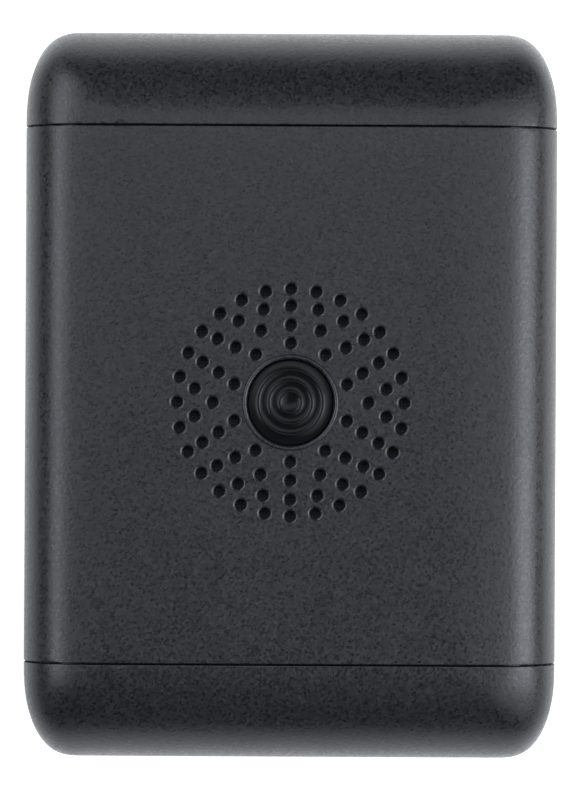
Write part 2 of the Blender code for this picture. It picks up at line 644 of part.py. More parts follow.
def make_switch():
    """Tact switch on the board's front edge: a moulded body in a folded steel frame."""
    half = 3.0 * MM
    front = BUTTON_BACK_Y + GAP + PLUNGER_STROKE_ROOM
    back = front + 3.7 * MM
    well_depth, well_radius = 2.6 * MM, 2.65 * MM
    plunger_hole = 2.0 * MM
    top = SEAT + JACK_BODY_HEIGHT
    body = part("switch_body", box((-half, front, SEAT), (half, back, top)), "black plastic")
    well = rod((0, front - WALL, AXIS_Z), WALL + well_depth, well_radius, "+Y", 16)
    combine(body, "DIFFERENCE", tool("switch_well", well))

    sheet = 0.3 * MM
    inner = half + GAP
    outer = inner + sheet
    frame_front = front - GAP - sheet
    frame = part("switch_frame", box((-outer, frame_front, SEAT), (outer, back, top)), "zinc steel")
    hollow = box((-inner, front - GAP, SEAT - WALL), (inner, back + WALL, top + WALL))
    combine(frame, "DIFFERENCE", tool("switch_frame_hollow", hollow))
    hole = rod((0, frame_front - WALL, AXIS_Z), 2 * WALL, plunger_hole, "+Y", 16)
    combine(frame, "DIFFERENCE", tool("switch_frame_hole", hole))


def make_lamp():
    """Status lamp: LED in a black holder on the board, and a clear light pipe in the front cap."""
    holder_front, holder_back = -30.8 * MM, -25.8 * MM
    half = 2.4 * MM
    bore_depth, bore_radius = 4.2 * MM, 1.8 * MM
    block = box((LAMP_X - half, holder_front, SEAT), (LAMP_X + half, holder_back, SEAT + JACK_BODY_HEIGHT))
    holder = part("led_holder", block, "black plastic")
    bore = rod((LAMP_X, holder_front - WALL, AXIS_Z), WALL + bore_depth, bore_radius, "+Y", 16)
    combine(holder, "DIFFERENCE", tool("led_holder_bore", bore))

    radius = 1.5 * MM
    length = 5.0 * MM
    dome_steps = 4
    profile = [(radius * math.sin(step / dome_steps * math.pi / 2),
                length - radius * (1 - math.cos(step / dome_steps * math.pi / 2)))
               for step in range(dome_steps + 1)]
    profile += [(radius, 0), (0, 0)]
    led_back = holder_front + bore_depth - 0.4 * MM
    turned("status_led", profile, "clear lens", (LAMP_X, led_back, AXIS_Z), "-Y", 16)

    pipe_back = -32.6 * MM
    flange_front = pipe_back + END_INNER_Y - GAP
    flange_back = flange_front - LIGHT_PIPE_FLANGE_THICKNESS
    length = pipe_back - BUTTON_FACE_Y
    wide = LIGHT_PIPE_RADIUS + LIGHT_PIPE_FLANGE
    profile = [(0, length), (LIGHT_PIPE_RADIUS, length), (LIGHT_PIPE_RADIUS, flange_front),
               (wide, flange_front), (wide, flange_back), (LIGHT_PIPE_RADIUS, flange_back),
               (LIGHT_PIPE_RADIUS, 0), (0, 0)]
    turned("led_light_pipe", profile, "clear lens", (LAMP_X, pipe_back, AXIS_Z), "-Y", 16)


clear_scene()
PARTS = new_collection("audio_receiver")
CUTTERS = new_collection("cutters")
CAVITY = tool("case_cavity", case_form(WALL))
TONGUE_HOLLOW = tool("tongue_hollow", case_form(TONGUE_INNER))
make_top_cover()
make_bottom_cover()
make_front_end_cap()
make_rear_end_cap()
make_emblem()
make_grille_cloth()
make_screws_and_feet()
make_board()
make_chips()
make_bluetooth_module()
make_capacitors()
make_audio_jack()
make_power_jack()
make_pairing_button()
make_switch()
make_lamp()
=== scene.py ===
"""Looks of a small wireless audio receiver: moulded case with grille, emblem, jacks, button and feet."""
import json
import math

import bmesh
import bpy
from mathutils import Matrix, Vector


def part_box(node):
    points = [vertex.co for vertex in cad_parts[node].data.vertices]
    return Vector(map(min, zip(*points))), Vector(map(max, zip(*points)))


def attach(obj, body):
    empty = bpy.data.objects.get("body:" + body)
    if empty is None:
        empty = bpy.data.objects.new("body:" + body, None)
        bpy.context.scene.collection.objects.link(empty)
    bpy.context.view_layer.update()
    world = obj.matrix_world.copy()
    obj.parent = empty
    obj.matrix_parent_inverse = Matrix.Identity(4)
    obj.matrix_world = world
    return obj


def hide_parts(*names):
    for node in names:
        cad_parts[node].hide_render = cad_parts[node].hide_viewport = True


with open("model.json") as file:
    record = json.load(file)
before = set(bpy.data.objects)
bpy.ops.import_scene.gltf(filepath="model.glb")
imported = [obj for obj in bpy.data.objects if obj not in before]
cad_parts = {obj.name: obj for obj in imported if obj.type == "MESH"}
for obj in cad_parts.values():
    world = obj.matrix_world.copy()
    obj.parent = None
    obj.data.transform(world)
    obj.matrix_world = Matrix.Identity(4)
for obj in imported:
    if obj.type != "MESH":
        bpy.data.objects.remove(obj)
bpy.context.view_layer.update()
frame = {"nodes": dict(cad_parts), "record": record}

MM = 0.001

# The case's form, in the frame's own coordinates
CASE_WIDTH = 2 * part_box("top_cover")[1].x
CASE_LENGTH = 2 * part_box("rear_end_cap")[1].y
CASE_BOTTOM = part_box("front_end_cap")[0].z
CASE_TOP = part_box("front_end_cap")[1].z
WALL = 1.8 * MM
GAP = 0.3 * MM                      # clearance between the case's pieces
SEAM_Y = 27.4 * MM                  # middle of the joint line between the covers and an end cap
SEAM_WIDTH = 0.21 * MM
COVER_END = SEAM_Y - SEAM_WIDTH / 2
CAP_SEAM = SEAM_Y + SEAM_WIDTH / 2
SPLIT_Z = 7.0 * MM                  # joint line between the cover and the base tray
SIDE_ROUND = 5.6 * MM
END_ROUND = CASE_LENGTH / 2 - SEAM_Y
BASE_ROUND = 3.0 * MM
CORNER_X = CASE_WIDTH / 2 - SIDE_ROUND
CORNER_Y = CASE_LENGTH / 2 - END_ROUND
CORNER_STEPS = 20
CORNER_POWER = 2.6                  # the plan corners are fuller than ellipses, whose power is 2
END_STEPS = 28
BASE_STEPS = 8
# The face falls away gently before each rounding: over this width, to this slope
SIDE_EASE = (7.5 * MM, math.radians(6.0))
END_EASE = (6.0 * MM, math.radians(1.6))
EASE_STEPS = 7
SOFT_CORNER = (3.2 * MM, 4.0 * MM)  # plan radius of the roof's corners, and how deep down it fades out
EDGE_BREAK = 0.07 * MM              # softening of the moulded edges along the joint lines
ROOF_UNDERSIDE = CASE_TOP - WALL
TONGUE_OUTER = WALL + GAP           # inset of the tongues that join caps and covers
TONGUE_INNER = TONGUE_OUTER + 0.9 * MM
TONGUE_ROOT = 1.8 * MM

# Grille and emblem
EMBLEM_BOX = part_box("emblem")
GRILLE_Y = (EMBLEM_BOX[0].y + EMBLEM_BOX[1].y) / 2
GRILLE_RINGS = ((28, 11.55 * MM), (22, 9.84 * MM), (16, 7.91 * MM), (10, 6.02 * MM))
VENT_RADIUS = 0.57 * MM
VENT_LIP = 0.52 * MM                # radius of the soft lip round each vent
VENT_SIDES = 20
POCKET_RADIUS = (EMBLEM_BOX[1].x - EMBLEM_BOX[0].x) / 2 + GAP
POCKET_DEPTH = 1.2 * MM
BEAD_WIDTH = 0.46 * MM
BEAD_RISE = 0.19 * MM
EMBLEM_RADIUS = POCKET_RADIUS - 0.08 * MM

END_INNER_Y = CASE_LENGTH / 2 - WALL
AUDIO_BORE = 1.85 * MM
POWER_BORE = 2.0 * MM
POWER_NOSE = 2.8 * MM


def middle(node):
    low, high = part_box(node)
    return (low + high) / 2


AXIS_Z = middle("audio_jack_bushing").z
AUDIO_X = middle("audio_jack_bushing").x
POWER_X = middle("power_jack_centre_pin").x
LAMP_X = middle("led_light_pipe").x


# Materials

def noise(tree, vector, scale, detail=3.0, roughness=0.5):
    node = tree.nodes.new("ShaderNodeTexNoise")
    node.inputs["Scale"].default_value = scale
    node.inputs["Detail"].default_value = detail
    node.inputs["Roughness"].default_value = roughness
    tree.links.new(vector, node.inputs["Vector"])
    return node.outputs["Fac"]


def remap(tree, value, low, high, to_low=0.0, to_high=1.0):
    node = tree.nodes.new("ShaderNodeMapRange")
    node.inputs["From Min"].default_value = low
    node.inputs["From Max"].default_value = high
    node.inputs["To Min"].default_value = to_low
    node.inputs["To Max"].default_value = to_high
    tree.links.new(value, node.inputs["Value"])
    return node.outputs["Result"]


def maths(tree, operation, first, second):
    node = tree.nodes.new("ShaderNodeMath")
    node.operation = operation
    for socket, value in zip(node.inputs, (first, second)):
        if isinstance(value, (int, float)):
            socket.default_value = value
        else:
            tree.links.new(value, socket)
    return node.outputs["Value"]


def blend_colour(tree, share, first, second):
    node = tree.nodes.new("ShaderNodeMix")
    node.data_type = "RGBA"
    if isinstance(share, (int, float)):
        node.inputs["Factor"].default_value = share
    else:
        tree.links.new(share, node.inputs["Factor"])
    for socket, colour in ((node.inputs["A"], first), (node.inputs["B"], second)):
        if isinstance(colour, tuple):
            socket.default_value = (*colour, 1.0)
        else:
            tree.links.new(colour, socket)
    return node.outputs["Result"]


def new_group(name, inputs, outputs):
    """A shader node group with named float inputs, and outputs that vary over the surface."""
    group = bpy.data.node_groups.new(name, "ShaderNodeTree")
    for label, default in inputs:
        socket = group.interface.new_socket(label, in_out="INPUT", socket_type="NodeSocketFloat")
        socket.default_value = default
    for label in outputs:
        group.interface.new_socket(label, in_out="OUTPUT", socket_type="NodeSocketFloat")
    entry = group.nodes.new("NodeGroupInput")
    leave = group.nodes.new("NodeGroupOutput")
    return group, entry.outputs, leave.inputs


def make_spark_grain():
    """Fine grain that spark erosion leaves in a mould: a height, sand-like flecks and broad clouds."""
    group, given, result = new_group("spark_grain", (("Pits per metre", 2400.0), ("Clouds per metre", 180.0)),
                                     ("Height", "Fleck", "Cloud"))
    place = group.nodes.new("ShaderNodeTexCoord").outputs["Object"]
    pits = group.nodes.new("ShaderNodeTexNoise")
    pits.inputs["Detail"].default_value = 4.0
    pits.inputs["Roughness"].default_value = 0.7
    group.links.new(place, pits.inputs["Vector"])
    group.links.new(given["Pits per metre"], pits.inputs["Scale"])
    clouds = group.nodes.new("ShaderNodeTexNoise")
    clouds.inputs["Detail"].default_value = 2.0
    group.links.new(place, clouds.inputs["Vector"])
    group.links.new(given["Clouds per metre"], clouds.inputs["Scale"])
    sand = group.nodes.new("ShaderNodeTexVoronoi")
    group.links.new(place, sand.inputs["Vector"])
    group.links.new(maths(group, "MULTIPLY", given["Pits per metre"], 1.7), sand.inputs["Scale"])
    split = group.nodes.new("ShaderNodeSeparateColor")
    group.links.new(sand.outputs["Color"], split.inputs["Color"])
    soft = remap(group, pits.outputs["Fac"], 0.3, 0.7, 0.0, 0.15)
    cells = maths(group, "ADD", split.outputs["Red"], split.outputs["Green"])
    fleck = maths(group, "ADD", soft, maths(group, "MULTIPLY", cells, 0.42))
    group.links.new(pits.outputs["Fac"], result["Height"])
    group.links.new(fleck, result["Fleck"])
    group.links.new(remap(group, clouds.outputs["Fac"], 0.3, 0.7), result["Cloud"])
    return group


def make_handling_wear():
    """What use leaves behind: thin smears where hands rub, and short fine scuffs."""
    group, given, result = new_group("handling_wear", (("Scuff share", 0.5), ("Smear share", 0.3)),
                                     ("Scuff", "Smear"))
    place = group.nodes.new("ShaderNodeTexCoord").outputs["Object"]
    stretch = group.nodes.new("ShaderNodeMapping")
    stretch.inputs["Rotation"].default_value = (0.3, 0.2, 0.7)
    stretch.inputs["Scale"].default_value = (260.0, 2600.0, 900.0)
    group.links.new(place, stretch.inputs["Vector"])
    scuff = remap(group, noise(group, stretch.outputs["Vector"], 1.0, 2.0), 0.68, 0.78)
    group.links.new(maths(group, "MULTIPLY", scuff, given["Scuff share"]), result["Scuff"])
    smear = remap(group, noise(group, place, 70.0, 5.0, 0.65), 0.48, 0.75)
    group.links.new(maths(group, "MULTIPLY", smear, given["Smear share"]), result["Smear"])
    return group


def make_brushing():
    """Fine turning or rolling marks along one axis, for metal."""
    group, given, result = new_group("fine_marks", (("Along", 300.0), ("Across", 9000.0)), ("Mark",))
    place = group.nodes.new("ShaderNodeTexCoord").outputs["Object"]
    stretch = group.nodes.new("ShaderNodeVectorMath")
    stretch.operation = "MULTIPLY"
    scales = group.nodes.new("ShaderNodeCombineXYZ")
    for axis, label in (("X", "Along"), ("Y", "Across"), ("Z", "Across")):
        group.links.new(given[label], scales.inputs[axis])
    group.links.new(place, stretch.inputs[0])
    group.links.new(scales.outputs["Vector"], stretch.inputs[1])
    group.links.new(noise(group, stretch.outputs["Vector"], 1.0, 2.0), result["Mark"])
    return group


GRAIN = make_spark_grain()
WEAR = make_handling_wear()
MARKS = make_brushing()


def place_group(tree, group, **values):
    node = tree.nodes.new("ShaderNodeGroup")
    node.node_tree = group
    for label, value in values.items():
        node.inputs[label.replace("_", " ")].default_value = value
    return node.outputs


def new_material(name, roughness, metallic=0.0):
    material = bpy.data.materials.new(name)
    material.use_nodes = True
    shader = material.node_tree.nodes["Principled BSDF"]
    shader.inputs["Roughness"].default_value = roughness
    shader.inputs["Metallic"].default_value = metallic
    return material, material.node_tree, shader


def add_bump(tree, shader, height, depth, strength=1.0):
    bump = tree.nodes.new("ShaderNodeBump")
    bump.inputs["Distance"].default_value = depth
    bump.inputs["Strength"].default_value = strength
    tree.links.new(height, bump.inputs["Height"])
    tree.links.new(bump.outputs["Normal"], shader.inputs["Normal"])


def moulded(name, colour, pale, roughness, grain_depth, pits=2400.0, scuff=0.3, smear=0.3, density=1.5,
            sparkle=0.0):
    """A moulded plastic or rubber: grained, faintly mottled, smeared and scuffed where it is handled."""
    material, tree, shader = new_material(name, roughness)
    shader.inputs["IOR"].default_value = density
    grain = place_group(tree, GRAIN, Pits_per_metre=pits)
    wear = place_group(tree, WEAR, Scuff_share=scuff, Smear_share=smear)
    base = blend_colour(tree, grain["Fleck"], colour, pale)
    base = blend_colour(tree, wear["Scuff"], base, tuple(1.6 * part for part in pale))
    tree.links.new(base, shader.inputs["Base Color"])
    rough = remap(tree, grain["Cloud"], 0.0, 1.0, roughness - 0.02, roughness + 0.02)
    rough = maths(tree, "ADD", rough, remap(tree, grain["Fleck"], 0.0, 1.0, -sparkle, sparkle))
    rough = maths(tree, "SUBTRACT", rough, maths(tree, "MULTIPLY", wear["Smear"], 0.06))
    tree.links.new(rough, shader.inputs["Roughness"])
    add_bump(tree, shader, grain["Height"], grain_depth)
    return material


def metal(name, colour, dark, roughness, along=300.0, across=9000.0):
    """A plated or drawn metal with fine marks."""
    material, tree, shader = new_material(name, roughness, 1.0)
    mark = place_group(tree, MARKS, Along=along, Across=across)["Mark"]
    wear = place_group(tree, WEAR, Scuff_share=0.4, Smear_share=0.5)
    base = blend_colour(tree, remap(tree, mark, 0.35, 0.7), colour, dark)
    base = blend_colour(tree, wear["Smear"], base, dark)
    tree.links.new(base, shader.inputs["Base Color"])
    rough = remap(tree, mark, 0.3, 0.7, roughness - 0.05, roughness + 0.08)
    tree.links.new(rough, shader.inputs["Roughness"])
    add_bump(tree, shader, mark, 0.002 * MM)
    return material


def woven_cloth(name, thread, painted_dip_shade, threads_per_metre):
    """Plain weave: two sets of threads that pass over and under each other."""
    material, tree, shader = new_material(name, 0.9)
    shader.inputs["Sheen Weight"].default_value = 0.15
    place = tree.nodes.new("ShaderNodeTexCoord").outputs["Object"]
    heights = []
    for direction in ("X", "Y"):
        wave = tree.nodes.new("ShaderNodeTexWave")
        wave.bands_direction = direction
        wave.inputs["Scale"].default_value = threads_per_metre
        wave.inputs["Distortion"].default_value = 0.4
        tree.links.new(place, wave.inputs["Vector"])
        heights.append(wave.outputs["Fac"])
    weave = maths(tree, "MULTIPLY", *heights)
    # The dips of the weave take the darker colour: painted shade between the threads.
    tree.links.new(blend_colour(tree, weave, painted_dip_shade, thread), shader.inputs["Base Color"])
    add_bump(tree, shader, weave, 0.05 * MM)
    return material


def make_materials():
    case = moulded("case_plastic", (0.0004, 0.0004, 0.0006), (0.0196, 0.0200, 0.0248), 0.315, 0.040 * MM,
                   pits=2500.0, scuff=0.12, smear=0.2, density=1.55, sparkle=0.13)
    gloss = moulded("emblem_gloss", (0.0022, 0.0022, 0.0026), (0.0034, 0.0034, 0.0040), 0.22, 0.0012 * MM,
                    pits=2600.0, scuff=0.1, smear=0.5, density=1.32)
    black = moulded("black_moulding", (0.010, 0.010, 0.0105), (0.017, 0.017, 0.018), 0.42, 0.006 * MM)
    rubber = moulded("foot_rubber", (0.020, 0.020, 0.020), (0.036, 0.035, 0.034), 0.72, 0.02 * MM,
                     pits=3000.0, smear=0.6)
    return {"case_plastic": case, "emblem_gloss": gloss, "black_moulding": black, "rubber": rubber,
            # The cloth's darker colour is painted shade for the dips between its threads.
            "grille_cloth": woven_cloth("grille_cloth", (0.17, 0.17, 0.19), (0.08, 0.08, 0.09),
                                        900.0),
            "zinc_steel": metal("bright_zinc", (0.60, 0.61, 0.62), (0.42, 0.43, 0.45), 0.28),
            "nickel": metal("nickel_plate", (0.66, 0.64, 0.60), (0.48, 0.46, 0.42), 0.20),
            "contact_brass": metal("spring_brass", (0.70, 0.52, 0.22), (0.50, 0.35, 0.13), 0.26),
            "capacitor_can": metal("drawn_can", (0.70, 0.71, 0.73), (0.55, 0.56, 0.58), 0.30),
            "solder_mask": moulded("solder_mask", (0.010, 0.070, 0.024), (0.016, 0.100, 0.036), 0.30,
                                   0.004 * MM, pits=1800.0),
            "ferrite": moulded("sintered_ferrite", (0.030, 0.030, 0.033), (0.055, 0.055, 0.058), 0.60,
                               0.02 * MM, pits=4200.0),
            "ceramic": moulded("fired_ceramic", (0.60, 0.59, 0.55), (0.72, 0.71, 0.67), 0.38,
                               0.008 * MM, pits=3000.0),
            "clear_lens": make_clear_lens()}


def make_clear_lens():
    material, tree, shader = new_material("clear_lens", 0.08)
    shader.inputs["Transmission Weight"].default_value = 0.85
    shader.inputs["IOR"].default_value = 1.49
    grain = place_group(tree, GRAIN, Pits_per_metre=1500.0)
    tree.links.new(blend_colour(tree, grain["Cloud"], (0.80, 0.86, 0.92), (0.70, 0.78, 0.86)),
                   shader.inputs["Base Color"])
    add_bump(tree, shader, grain["Height"], 0.001 * MM)
    return material


FINISHES = make_materials()


# Mesh helpers

def finished_piece(name, shape, finish, body, *nodes, angle=38):
    """Link a finished mesh as a piece that stands for these frame nodes."""
    mesh = shape
    if isinstance(shape, bmesh.types.BMesh):
        mesh = bpy.data.meshes.new(name)
        shape.to_mesh(mesh)
        shape.free()
    mesh.materials.clear()
    mesh.materials.append(FINISHES[finish])
    mesh.shade_smooth()
    mesh.set_sharp_from_angle(angle=math.radians(angle))
    piece = bpy.data.objects.new(name, mesh)
    bpy.context.scene.collection.objects.link(piece)
    weighted = piece.modifiers.new("weighted normals", "WEIGHTED_NORMAL")
    weighted.keep_sharp = True
    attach(piece, body)
    if nodes:
        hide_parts(*nodes)
    return piece


def rough_object(shape):
    mesh = bpy.data.meshes.new("working")
    shape.to_mesh(mesh)
    shape.free()
    obj = bpy.data.objects.new("working", mesh)
    bpy.context.scene.collection.objects.link(obj)
    return obj


def carve(shape, *steps):
    """Join shapes to, or take shapes from, a first one, in turn. Returns the mesh that is left."""
    obj = rough_object(shape)
    others = []
    for operation, other in steps:
        others.append(rough_object(other))
        modifier = obj.modifiers.new(operation, "BOOLEAN")
        modifier.operation = operation
        modifier.object = others[-1]
        modifier.solver = "EXACT"
    seen = obj.evaluated_get(bpy.context.evaluated_depsgraph_get())
    mesh = bpy.data.meshes.new_from_object(seen)
    for made in (obj, *others):
        bpy.data.objects.remove(made)
    return mesh


def arc_inset(height, radius):
    height = min(max(height, 0.0), radius)
    return radius - math.sqrt(radius ** 2 - height ** 2)


def ease_drop(ease):
    width, slope = ease
    return width * math.tan(slope) / 2


def reach(depth, ease, radius):
    """How far the outside reaches past the flat of the face, at a depth below the top."""
    width, slope = ease
    drop = ease_drop(ease)
    if depth < drop:
        return width * math.sqrt(max(depth, 0.0) / drop)
    turned = min(depth - drop + radius * (1 - math.cos(slope)), radius)
    return width + math.sqrt(radius ** 2 - (radius - turned) ** 2) - radius * math.sin(slope)


def outside_half(half, depth, ease, radius):
    """Half the width or length of the case's outside, at a depth below the top."""
    return half - reach(CASE_TOP, ease, radius) + reach(depth, ease, radius)


def full_corner(share):
    return math.copysign(abs(share) ** (2 / CORNER_POWER), share)


def case_outline(z, inset):
    """The case's plan at height z, moved in by inset: a rectangle with full, rounded corners."""
    side = SIDE_ROUND - inset
    end = END_ROUND - inset
    base_inset = arc_inset(CASE_BOTTOM + BASE_ROUND - z, BASE_ROUND - inset)
    corner_x = side - arc_inset(z - (CASE_TOP - SIDE_ROUND), side) - base_inset
    corner_y = end - arc_inset(z - (CASE_TOP - END_ROUND), end) - base_inset
    middle_x, middle_y = CORNER_X, CORNER_Y
    if inset == 0:
        half_x = outside_half(CASE_WIDTH / 2, CASE_TOP - z, SIDE_EASE, SIDE_ROUND)
        half_y = outside_half(CASE_LENGTH / 2, CASE_TOP - z, END_EASE, END_ROUND)
        soft = SOFT_CORNER[0] * max(0.0, 1 - (CASE_TOP - z) / SOFT_CORNER[1]) ** 2
        middle_x, middle_y = min(half_x, CORNER_X) - soft, min(half_y, CORNER_Y) - soft
        corner_x, corner_y = half_x - middle_x - base_inset, half_y - middle_y - base_inset
    outline = []
    for quarter, (sign_x, sign_y) in enumerate(((1, 1), (-1, 1), (-1, -1), (1, -1))):
        for step in range(CORNER_STEPS + 1):
            angle = (quarter + step / CORNER_STEPS) * math.pi / 2
            outline.append((sign_x * middle_x + corner_x * full_corner(math.cos(angle)),
                            sign_y * middle_y + corner_y * full_corner(math.sin(angle)), z))
    return outline


def case_form(inset=0.0):
    """The whole case as one solid, moved in by inset: a loft through its plan outlines."""
    base = BASE_ROUND - inset
    end = END_ROUND - inset
    heights = [CASE_BOTTOM + BASE_ROUND - base * math.cos(step / BASE_STEPS * math.pi / 2)
               for step in range(BASE_STEPS + 1)]
    heights += [CASE_TOP - END_ROUND + end * math.sin(step / END_STEPS * math.pi / 2)
                for step in range(END_STEPS + 1)]
    if inset == 0:
        for ease in (SIDE_EASE, END_EASE):
            heights += [CASE_TOP - ease_drop(ease) * (step / EASE_STEPS) ** 2
                        for step in range(EASE_STEPS + 1)]
        heights.sort()
        heights = [z for z, above in zip(heights, heights[1:]) if above - z > 0.002 * MM] + [CASE_TOP]
    shape = bmesh.new()
    rings = [[shape.verts.new(point) for point in case_outline(z, inset)] for z in heights]
    for lower, upper in zip(rings, rings[1:]):
        for index in range(len(lower)):
            after = (index + 1) % len(lower)
            shape.faces.new((lower[index], lower[after], upper[after], upper[index]))
    shape.faces.new(reversed(rings[0]))
    shape.faces.new(rings[-1])
    bmesh.ops.remove_doubles(shape, verts=shape.verts, dist=0.001 * MM)
    return shape


def slice_off(shape, point, normal):
    """Cut a solid with a plane, drop the side that the normal points to, and close the cut."""
    everything = [*shape.verts, *shape.edges, *shape.faces]
    cut = bmesh.ops.bisect_plane(shape, geom=everything, plane_co=point, plane_no=normal,
                                 dist=0.0001 * MM, clear_outer=True)
    rim = [item for item in cut["geom_cut"] if isinstance(item, bmesh.types.BMEdge)]
    bmesh.ops.edgeloop_fill(shape, edges=rim)
    bmesh.ops.recalc_face_normals(shape, faces=shape.faces)


def soften_edges(shape, width, steps=2, angle=50):
    """Round every edge that is sharper than angle."""
    sharp = [edge for edge in shape.edges
             if len(edge.link_faces) == 2 and edge.calc_face_angle() > math.radians(angle)]
    bmesh.ops.bevel(shape, geom=sharp, offset=width, segments=steps, profile=0.5, affect="EDGES",
                    clamp_overlap=True)
    return shape


def box(low, high, target=None):
    shape = target or bmesh.new()
    low, high = Vector(low), Vector(high)
    place = Matrix.Translation((low + high) / 2) @ Matrix.Diagonal((*(high - low), 1.0))
    bmesh.ops.create_cube(shape, size=1.0, matrix=place)
    return shape


def rounded_box(low, high, axis, radius, steps=8):
    """A box whose four edges along one axis (0, 1 or 2) are rounded."""
    shape = box(low, high)
    along = Vector((0, 0, 0))
    along[axis] = 1.0
    edges = [edge for edge in shape.edges
             if abs((edge.verts[1].co - edge.verts[0].co).normalized().dot(along)) > 0.99]
    bmesh.ops.bevel(shape, geom=edges, offset=radius, segments=steps, profile=0.5, affect="EDGES")
    return shape


AXIS_TURNS = {
    "Z": Matrix.Identity(4),
    "+Y": Matrix.Rotation(math.radians(-90), 4, "X"),
    "-Y": Matrix.Rotation(math.radians(90), 4, "X"),
}


def turn(profile, origin, axis="Z", steps=48, target=None):
    """Spin a profile of (radius, height) points round an axis. A first or last radius of 0 closes it."""
    shape = target or bmesh.new()
    place = Matrix.Translation(origin) @ AXIS_TURNS[axis]
    columns = []
    for radius, height in profile:
        if radius == 0:
            columns.append([shape.verts.new(place @ Vector((0, 0, height)))])
            continue
        columns.append([shape.verts.new(place @ Vector((radius * math.cos(2 * math.pi * step / steps),
                                                        radius * math.sin(2 * math.pi * step / steps),
                                                        height))) for step in range(steps)])
    pairs = list(zip(columns, columns[1:]))
    if profile[0][0] and profile[-1][0]:
        pairs.append((columns[-1], columns[0]))
    made = []
    for upper, lower in pairs:
        for step in range(steps):
            after = (step + 1) % steps
            corners = [upper[step % len(upper)], lower[step % len(lower)],
                       lower[after % len(lower)], upper[after % len(upper)]]
            unique = list(dict.fromkeys(corners))
            made.append(shape.faces.new(unique))
    bmesh.ops.recalc_face_normals(shape, faces=made)
    return shape


def arc(centre, radius, start, stop, steps=6):
    """Points of (radius, height) along an arc. Angles are in degrees, from the outward direction."""
    points = []
    for step in range(steps + 1):
        angle = math.radians(start + (stop - start) * step / steps)
        points.append((centre[0] + radius * math.cos(angle), centre[1] + radius * math.sin(angle)))
    return points


# Case

def grille_vents():
    """Cutters for the vents, each with a soft lip where it meets the face."""
    cutters = bmesh.new()
    shallow, steep = math.radians(16), math.radians(46)     # the lip's slope at its outer and inner end
    lip = arc((VENT_RADIUS + VENT_LIP * math.sin(steep), -VENT_LIP * math.cos(shallow)), VENT_LIP,
              90 + math.degrees(shallow), 90 + math.degrees(steep), 5)
    over = 0.12 * MM
    flare = (lip[0][0] + over / math.tan(shallow), over)
    profile = [(0, over), flare, *lip, (VENT_RADIUS, -2 * WALL), (0, -2 * WALL)]
    for count, ring_radius in GRILLE_RINGS:
        for index in range(count):
            angle = math.pi / 2 + index * 2 * math.pi / count
            centre = (ring_radius * math.cos(angle), GRILLE_Y + ring_radius * math.sin(angle), CASE_TOP)
            turn(profile, centre, steps=VENT_SIDES, target=cutters)
    return cutters


def tower(x, y, low, high, radius, bore, target=None):
    """A screw post: a hollow column with a slightly tapered wall."""
    draft = 0.1 * MM
    profile = [(bore, high), (radius - draft, high), (radius, low), (bore, low)]
    return turn(profile, (x, y, 0), steps=32, target=target)


def screw_places():
    return [(middle(f"case_screw_{index}").x, middle(f"case_screw_{index}").y) for index in range(1, 5)]


def between_seams(shape):
    """The stretch of the case that lies between the two end caps."""
    slice_off(shape, (0, COVER_END, 0), (0, 1, 0))
    slice_off(shape, (0, -COVER_END, 0), (0, -1, 0))
    return shape


def make_grille_cover():
    shape = case_form()
    roof = max(shape.faces, key=lambda face: face.calc_center_median().z)
    bmesh.ops.inset_region(shape, faces=[roof], thickness=0.1 * MM)
    between_seams(shape)
    slice_off(shape, (0, 0, SPLIT_Z + GAP / 2), (0, 0, -1))
    soften_edges(shape, EDGE_BREAK)

    posts = bmesh.new()
    for x, y in screw_places():
        tower(x, y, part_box("top_cover")[0].z, ROOF_UNDERSIDE + WALL / 2, 3.0 * MM, 1.6 * MM, posts)

    bead_middle = POCKET_RADIUS + BEAD_WIDTH / 2
    root = -POCKET_DEPTH / 2
    bead_profile = [(bead_middle + BEAD_WIDTH / 2 * math.cos(math.radians(angle)),
                     BEAD_RISE * math.sin(math.radians(angle))) for angle in range(180, -1, -20)]
    bead_profile += [(POCKET_RADIUS + BEAD_WIDTH, root), (POCKET_RADIUS, root)]
    bead = turn(bead_profile, (0, GRILLE_Y, CASE_TOP), steps=72)
    pocket = turn([(0, 1 * MM), (POCKET_RADIUS, 1 * MM), (POCKET_RADIUS, -POCKET_DEPTH), (0, -POCKET_DEPTH)],
                  (0, GRILLE_Y, CASE_TOP), steps=72)
    mesh = carve(shape, ("DIFFERENCE", case_form(WALL)), ("UNION", posts), ("UNION", bead),
                 ("DIFFERENCE", pocket), ("DIFFERENCE", grille_vents()))
    finished_piece("grille_cover", mesh, "case_plastic", "case", "top_cover")


def make_base_tray():
    shape = between_seams(case_form())
    slice_off(shape, (0, 0, SPLIT_Z - GAP / 2), (0, 0, 1))
    soften_edges(shape, EDGE_BREAK)

    seat = 2.4 * MM
    posts = bmesh.new()
    for x, y in screw_places():
        tower(x, y, seat - 0.2 * MM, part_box("main_board")[0].z - GAP, 3.9 * MM, 1.6 * MM, posts)

    wells = bmesh.new()
    deep = 5 * MM
    lip = 0.2 * MM
    for index in range(1, 5):
        screw, foot = middle(f"case_screw_{index}"), middle(f"rubber_foot_{index}")
        for place, radius, top in ((screw, 2.8 * MM, seat), (foot, 4.15 * MM, 1.9 * MM)):
            turn([(0, top), (radius, top), (radius, CASE_BOTTOM + lip), (radius + 2 * lip, CASE_BOTTOM - lip),
                  (radius + 2 * lip, -deep), (0, -deep)], (place.x, place.y, 0), steps=48, target=wells)
    bores = bmesh.new()
    for x, y in screw_places():
        turn([(0, deep), (1.6 * MM, deep), (1.6 * MM, 0), (0, 0)], (x, y, 0), steps=32, target=bores)
    mesh = carve(shape, ("DIFFERENCE", case_form(WALL)), ("UNION", posts), ("DIFFERENCE", wells),
                 ("DIFFERENCE", bores))
    finished_piece("base_tray", mesh, "case_plastic", "case", "bottom_cover")


